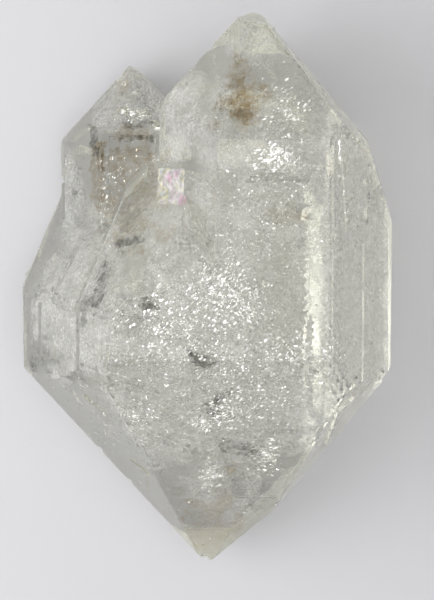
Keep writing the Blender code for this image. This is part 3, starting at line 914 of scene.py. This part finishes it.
def many(name, middles, sizes, turns, form, sides, material):
    """One mesh with a small closed form at each of the middles, three sizes and a turn for each.

    It casts no shadow of its own, for the same reason as the sheets.
    """
    corners = (form[None] * sizes[:, None, :]) @ turns.transpose(0, 2, 1) + middles[:, None, :]
    faces = sides[None] + (np.arange(len(middles)) * len(form))[:, None, None]
    made = shown(name, corners.reshape(-1, 3).tolist(), faces.reshape(-1, 3).tolist(), material)
    made.visible_shadow = False
    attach(made, "root")
    return made


def flake_form():
    """A thin splinter with an uneven rim and a slight swell on both sides, and its triangles."""
    turns = np.sort(chance.random(FLAKE_CORNERS)) * 2 * math.pi
    reach = 0.55 + 0.45 * chance.random(FLAKE_CORNERS)
    bent = FLAKE_BEND * chance.normal(size=FLAKE_CORNERS)
    rim = np.stack([np.cos(turns) * reach, np.sin(turns) * reach, bent], axis=1)
    form = np.concatenate([rim, [(0.0, 0.0, FLAKE_SWELL), (0.0, 0.0, -FLAKE_SWELL)]])
    top, bottom = FLAKE_CORNERS, FLAKE_CORNERS + 1
    ring = [(i, (i + 1) % FLAKE_CORNERS) for i in range(FLAKE_CORNERS)]
    return form, np.array([(i, j, top) for i, j in ring] + [(j, i, bottom) for i, j in ring])


def scattered(rows):
    """Where small pieces are, how long each is and how it leans, from rows of clouds."""
    found = []
    for across, up, wide, high, deep, count, small, large, lean in rows:
        for _ in range(count):
            aside = chance.normal(size=2) * 0.5
            depth = SHALLOWEST + deep * chance.random() ** MOSTLY_SHALLOW
            spot = seen_inside(across + wide * aside[0], up + high * aside[1], depth, SHALLOWEST / 2)
            if spot:
                length = small + (large - small) * chance.random() ** MOSTLY_SMALL
                found.append((*spot, length, math.radians(lean) + chance.normal() * LEAN_SPREAD))
    return found


def strays(count):
    """Flakes at random through the whole cluster, closer together in some parts."""
    low, high = (np.array(corner) / MM for corner in cad_box)
    small, large = STRAY_SIZES
    found = []
    while len(found) < count:
        spot = Vector(low + (high - low) * chance.random(3))
        clump = noise.noise(spot * 0.11 + Vector((9.0, 5.0, 1.0)))
        if clump > STRAY_GAPS and room_inside(spot) > STRAY_CLEAR:
            length = small + (large - small) * chance.random() ** STRAYS_MOSTLY_SMALL
            found.append((*spot, length, chance.random() * 2 * math.pi))
    return found


found = np.array(scattered(FLAKE_ROWS) + strays(STRAY_FLAKES))
silver = silvery("silvery_crack", False)
for sort in range(FLAKE_SORTS):
    form, sides = flake_form()
    mine = found[sort::FLAKE_SORTS]
    count = len(mine)
    across = 0.16 + 0.5 * chance.random(count)
    shape = np.stack([np.ones(count), across, np.full(count, FLAKE_THINNESS)], axis=1)
    sizes = shape * mine[:, 3:4] / 2
    turns = turned_mostly_up(count, mine[:, 4])
    many(f"silvery_flakes_{sort + 1}", mine[:, :3], sizes, turns, form, sides, silver)

# Black specks. Grains of the tar-like carbon that this kind of quartz often holds, caught
# one by one while the crystals grew.
CARBON = (0.07, 0.065, 0.05, 1.0)
SPECK_THICKNESS = 0.5
SPECK_ROWS = (
    # across and up on the picture, reach across and up, deepest, how many, smallest and largest, lean
    (16.8, 14.9, 0.2, 0.3, 0.1, 7, 0.2, 0.4, 80.0),
    (16.8, 11.2, 0.22, 0.5, 0.1, 12, 0.2, 0.5, 80.0),
    (17.7, 14.1, 0.15, 0.2, 0.1, 4, 0.15, 0.3, 80.0),
    (9.7, 16.2, 0.2, 0.2, 0.3, 5, 0.12, 0.3, 0.0),
    (6.4, 15.4, 0.2, 0.2, 0.3, 5, 0.12, 0.3, 0.0),
    (-15.3, 14.5, 0.5, 0.4, 0.6, 14, 0.12, 0.35, 0.0),
    (-15.6, 13.0, 0.5, 0.5, 0.6, 12, 0.12, 0.35, 0.0),
    (-16.4, 12.4, 0.3, 0.3, 0.6, 6, 0.12, 0.3, 0.0),
    (-7.5, -0.5, 0.55, 0.55, 0.3, 26, 0.12, 0.4, 30.0),
    (-1.8, -6.4, 0.9, 0.5, 0.6, 16, 0.1, 0.3, 20.0),
    (-0.4, -11.8, 1.3, 1.3, 0.8, 26, 0.1, 0.35, 40.0),
    (-13.6, 17.6, 0.12, 1.2, 0.4, 16, 0.1, 0.4, 85.0),
    (-15.5, -8.8, 0.5, 1.0, 0.5, 14, 0.1, 0.35, 60.0),
    (-12.3, 1.8, 0.5, 2.6, 0.5, 16, 0.1, 0.3, 60.0),
    (2.6, -16.2, 1.4, 0.5, 0.5, 12, 0.1, 0.3, 0.0),
    (0.0, 0.0, 12.0, 16.0, 3.0, 110, 0.07, 0.2, 0.0),
)


def tarry():
    """Dull black carbon."""
    material, finish = new_finish("black_carbon")
    place = finish.node("ShaderNodeTexCoord", output="Object")
    crumbly = 0.4 + uneven(finish, place, 4000.0) * 0.4
    shader = finish.node("ShaderNodeBsdfPrincipled", {}, {"Base Color": CARBON, "Roughness": crumbly})
    finish.node("ShaderNodeOutputMaterial", {}, {"Surface": shader})
    return material


found = np.array(scattered(SPECK_ROWS))
form, sides = flake_form()
count = len(found)
across = 0.4 + 0.5 * chance.random(count)
shape = np.stack([np.ones(count), across, np.full(count, SPECK_THICKNESS)], axis=1)
turns = turned_mostly_up(count, found[:, 4])
many("black_specks", found[:, :3], shape * found[:, 3:4] / 2, turns, form, sides, tarry())

# Hairline cracks. Fine seams where two of the crystals meet or where a crack runs
# out; their dark is painted shade for the light they turn away.
# painted shade: the dark that the seams show because they turn the light away
SEAM_PAINTED_SHADE = (0.13, 0.125, 0.10, 1.0)
SEAM_WIDTH = 0.1
SEAM_WANDER = 0.22
SEAM_STEP = 0.25
SEAM_CLEAR = 0.08
SEAM_ROWS = (
    # depth, how dark, then the places on the picture that the seam runs through
    (0.2, 0.8, ((7.5, 27.5), (9.3, 25.4), (11.1, 23.3), (13.5, 20.4), (15.4, 19.1))),
    (0.3, 0.5, ((0.9, 2.5), (2.0, 1.4), (3.3, 0.1))),
    (0.3, 0.5, ((3.5, -5.4), (5.4, -6.2), (7.6, -7.3))),
    (0.3, 0.35, ((7.6, -2.5), (10.4, -6.4), (13.5, -10.9))),
    (0.5, 0.35, ((8.2, -2.9), (10.9, -7.0), (13.7, -11.6))),
    (0.3, 0.9, ((-13.7, 19.2), (-13.5, 17.6), (-13.4, 16.2))),
    (0.3, 0.8, ((-12.3, 4.6), (-13.2, 2.6), (-14.4, 0.6), (-15.2, -1.2))),
    (0.3, 0.9, ((-10.9, 5.6), (-10.3, 6.4), (-9.4, 6.6), (-8.6, 6.0))),
    (0.3, 0.8, ((-10.2, -9.6), (-9.6, -10.1), (-8.8, -9.8), (-8.5, -9.0), (-9.2, -8.5), (-10.0, -8.8))),
    (0.3, 0.5, ((-3.0, 10.4), (-2.4, 10.6), (-1.9, 10.0), (-2.2, 9.1), (-3.0, 9.2))),
    (0.2, 0.8, ((-16.3, -7.7), (-15.5, -8.8), (-14.8, -9.9), (-14.2, -10.8))),
    (0.3, 0.5, ((0.3, -15.6), (1.2, -17.4), (1.5, -19.7), (0.8, -21.6), (0.1, -22.8))),
    (0.3, 0.7, ((-15.3, 7.0), (-13.6, 5.9), (-11.8, 4.5))),
    (0.4, 0.7, ((-14.6, 5.8), (-13.0, 4.8))),
    (0.3, 0.35, ((-10.6, -9.7), (-8.6, -11.2), (-6.7, -12.7))),
    (0.4, 0.3, ((-10.2, -11.6), (-8.0, -13.2), (-5.6, -15.4))),
    (0.4, 0.3, ((-8.8, -9.9), (-6.4, -11.6), (-4.2, -13.9))),
    (0.4, 0.35, ((5.4, -7.3), (3.4, -9.2), (1.2, -10.6))),
    (0.4, 0.3, ((7.2, -7.6), (5.4, -9.7), (3.1, -11.6))),
    (0.2, 0.35, ((-12.2, 18.0), (-8.6, 18.1), (-7.3, 18.0))),
    (0.3, 0.35, ((-12.2, 15.1), (-9.6, 15.2), (-7.0, 15.1))),
    (0.3, 0.3, ((-11.8, 18.0), (-11.9, 13.0), (-11.8, 9.4))),
)


def seam_sheets():
    """Narrow ribbons along the rows of places, a little uneven, that face the viewer."""
    sheets = []
    for number, (depth, dark, places_on_picture) in enumerate(SEAM_ROWS):
        line = [Vector(place) for place in places_on_picture]
        spots, dense = [], []
        for start, end in zip(line[:-1], line[1:]):
            parts = max(1, round((end - start).length / SEAM_STEP))
            aside = Vector((-(end - start).y, (end - start).x)).normalized()
            for part in range(parts):
                middle = start.lerp(end, part / parts)
                wander = noise.noise(Vector((middle.x, middle.y, number * 3.1)) * 1.7)
                wide = SEAM_WIDTH * (0.5 + abs(noise.noise(Vector((middle.x, middle.y, number)) * 2.3)))
                for side in (-0.5, 0.5):
                    place = middle + aside * (SEAM_WANDER * wander + side * wide)
                    spots.append(seen_inside(place.x, place.y, depth, SEAM_CLEAR))
                    dense.append(dark)
        faces = []
        for k in range(0, len(spots) - 3, 2):
            held = spots[k:k + 4]
            if None not in held and (held[2] - held[0]).length < LONGEST_STEP * SEAM_STEP:
                faces.extend([(k, k + 1, k + 3), (k, k + 3, k + 2)])
        sheets.append((spots, faces, dense))
    return sheets


def seam_finish():
    """Painted shade where a seam turns the light away, broken up along its length."""
    material, finish = new_finish("hairline")
    place = finish.node("ShaderNodeTexCoord", output="Object")
    broken = rising(finish, uneven(finish, place, 1300.0), 0.36, 0.56, easing="LINEAR")
    cover = on_mesh(finish, "thickness") * broken
    shader = finish.node(
        "ShaderNodeBsdfPrincipled",
        {},
        {"Base Color": SEAM_PAINTED_SHADE, "Roughness": 0.7, "Alpha": cover},
    )
    finish.node("ShaderNodeOutputMaterial", {}, {"Surface": shader})
    return material


inner_sheet("hairline_cracks", seam_sheets(), seam_finish())

# Pale paper that the crystal lies on: a plain sheet, far larger than the picture, just
# under the flat back.
PAPER_REACH = 1200.0
PAPER_DROP = 0.12
PAPER_COLOUR = (0.58, 0.58, 0.605, 1.0)


def plain_paper():
    """Plain matt paper."""
    material, finish = new_finish("plain_paper")
    shader = finish.node("ShaderNodeBsdfPrincipled", {}, {"Base Color": PAPER_COLOUR, "Roughness": 0.9})
    finish.node("ShaderNodeOutputMaterial", {}, {"Surface": shader})
    return material


ring = ((-1, -1), (1, -1), (1, 1), (-1, 1))
corners = [(x * PAPER_REACH, y * PAPER_REACH, -PAPER_DROP) for x, y in ring]
paper = shown("paper", corners, [(0, 1, 2, 3)], plain_paper())

# Soft light from a wide lamp at the left, that no face mirrors as a bright bar, a pale
# room all round that is brightest straight above, and the camera.
PIXELS_HIGH = 600
MM_PER_PIXEL = 0.11
SENSOR = 36.0
LAMP_PLACE = (-215.0, 10.0, 115.0)
LAMP_SIZE = 260.0
LAMP_POWER = 0.66
ROOM_LIGHT = 1.0
ROOM_STOPS = (
    (0.0, (0.52, 0.525, 0.54, 1.0)),
    (0.7, (0.59, 0.59, 0.595, 1.0)),
    (0.86, (1.32, 1.31, 1.27, 1.0)),
)
NOISE_ALLOWED = 0.08
MOST_BOUNCES = 16
MOST_MIRRORED = 12
MOST_SEEN_THROUGH = 48


def pale_room():
    """A room with pale walls, a little dimmer low down, and a bright ceiling."""
    world = bpy.data.worlds.new("pale_room")
    world.use_nodes = True
    finish = Finish(world.node_tree)
    way = finish.node("ShaderNodeTexCoord", output="Generated")
    rise = finish.node("ShaderNodeSeparateXYZ", {}, {0: way}, output=2)
    shade = finish.node("ShaderNodeValToRGB", {"stops": ROOM_STOPS}, {"Fac": rise})
    light = finish.node("ShaderNodeBackground", {}, {"Color": shade, "Strength": ROOM_LIGHT})
    finish.node("ShaderNodeOutputWorld", {}, {"Surface": light})
    return world


scene = bpy.context.scene
scene.world = pale_room()
scene.view_settings.view_transform = "Standard"
scene.cycles.use_adaptive_sampling = True
scene.cycles.adaptive_threshold = NOISE_ALLOWED
scene.cycles.max_bounces = MOST_BOUNCES
scene.cycles.transmission_bounces = MOST_BOUNCES
scene.cycles.transparent_max_bounces = MOST_SEEN_THROUGH
scene.cycles.glossy_bounces = MOST_MIRRORED
scene.cycles.diffuse_bounces = MOST_MIRRORED

lens = bpy.data.cameras.new("camera")
lens.sensor_fit = "VERTICAL"
lens.sensor_height = SENSOR
lens.lens = CAMERA_DISTANCE / (MM_PER_PIXEL * PIXELS_HIGH) * SENSOR
lens.clip_start = 0.01
lens.clip_end = 10.0
camera = bpy.data.objects.new("camera", lens)
camera.location = (AIM + back * CAMERA_DISTANCE) * MM
camera.rotation_euler = (-CAMERA_RISE, 0.0, 0.0)
scene.collection.objects.link(camera)
scene.camera = camera

soft_light = bpy.data.lights.new("soft_lamp", "AREA")
soft_light.shape = "RECTANGLE"
soft_light.size = LAMP_SIZE * MM
soft_light.size_y = LAMP_SIZE * MM
soft_light.energy = LAMP_POWER
lamp = bpy.data.objects.new("soft_lamp", soft_light)
lamp.location = Vector(LAMP_PLACE) * MM
lamp.visible_glossy = False
lamp.rotation_euler = (AIM - Vector(LAMP_PLACE)).to_track_quat("-Z", "Y").to_euler()
scene.collection.objects.link(lamp)
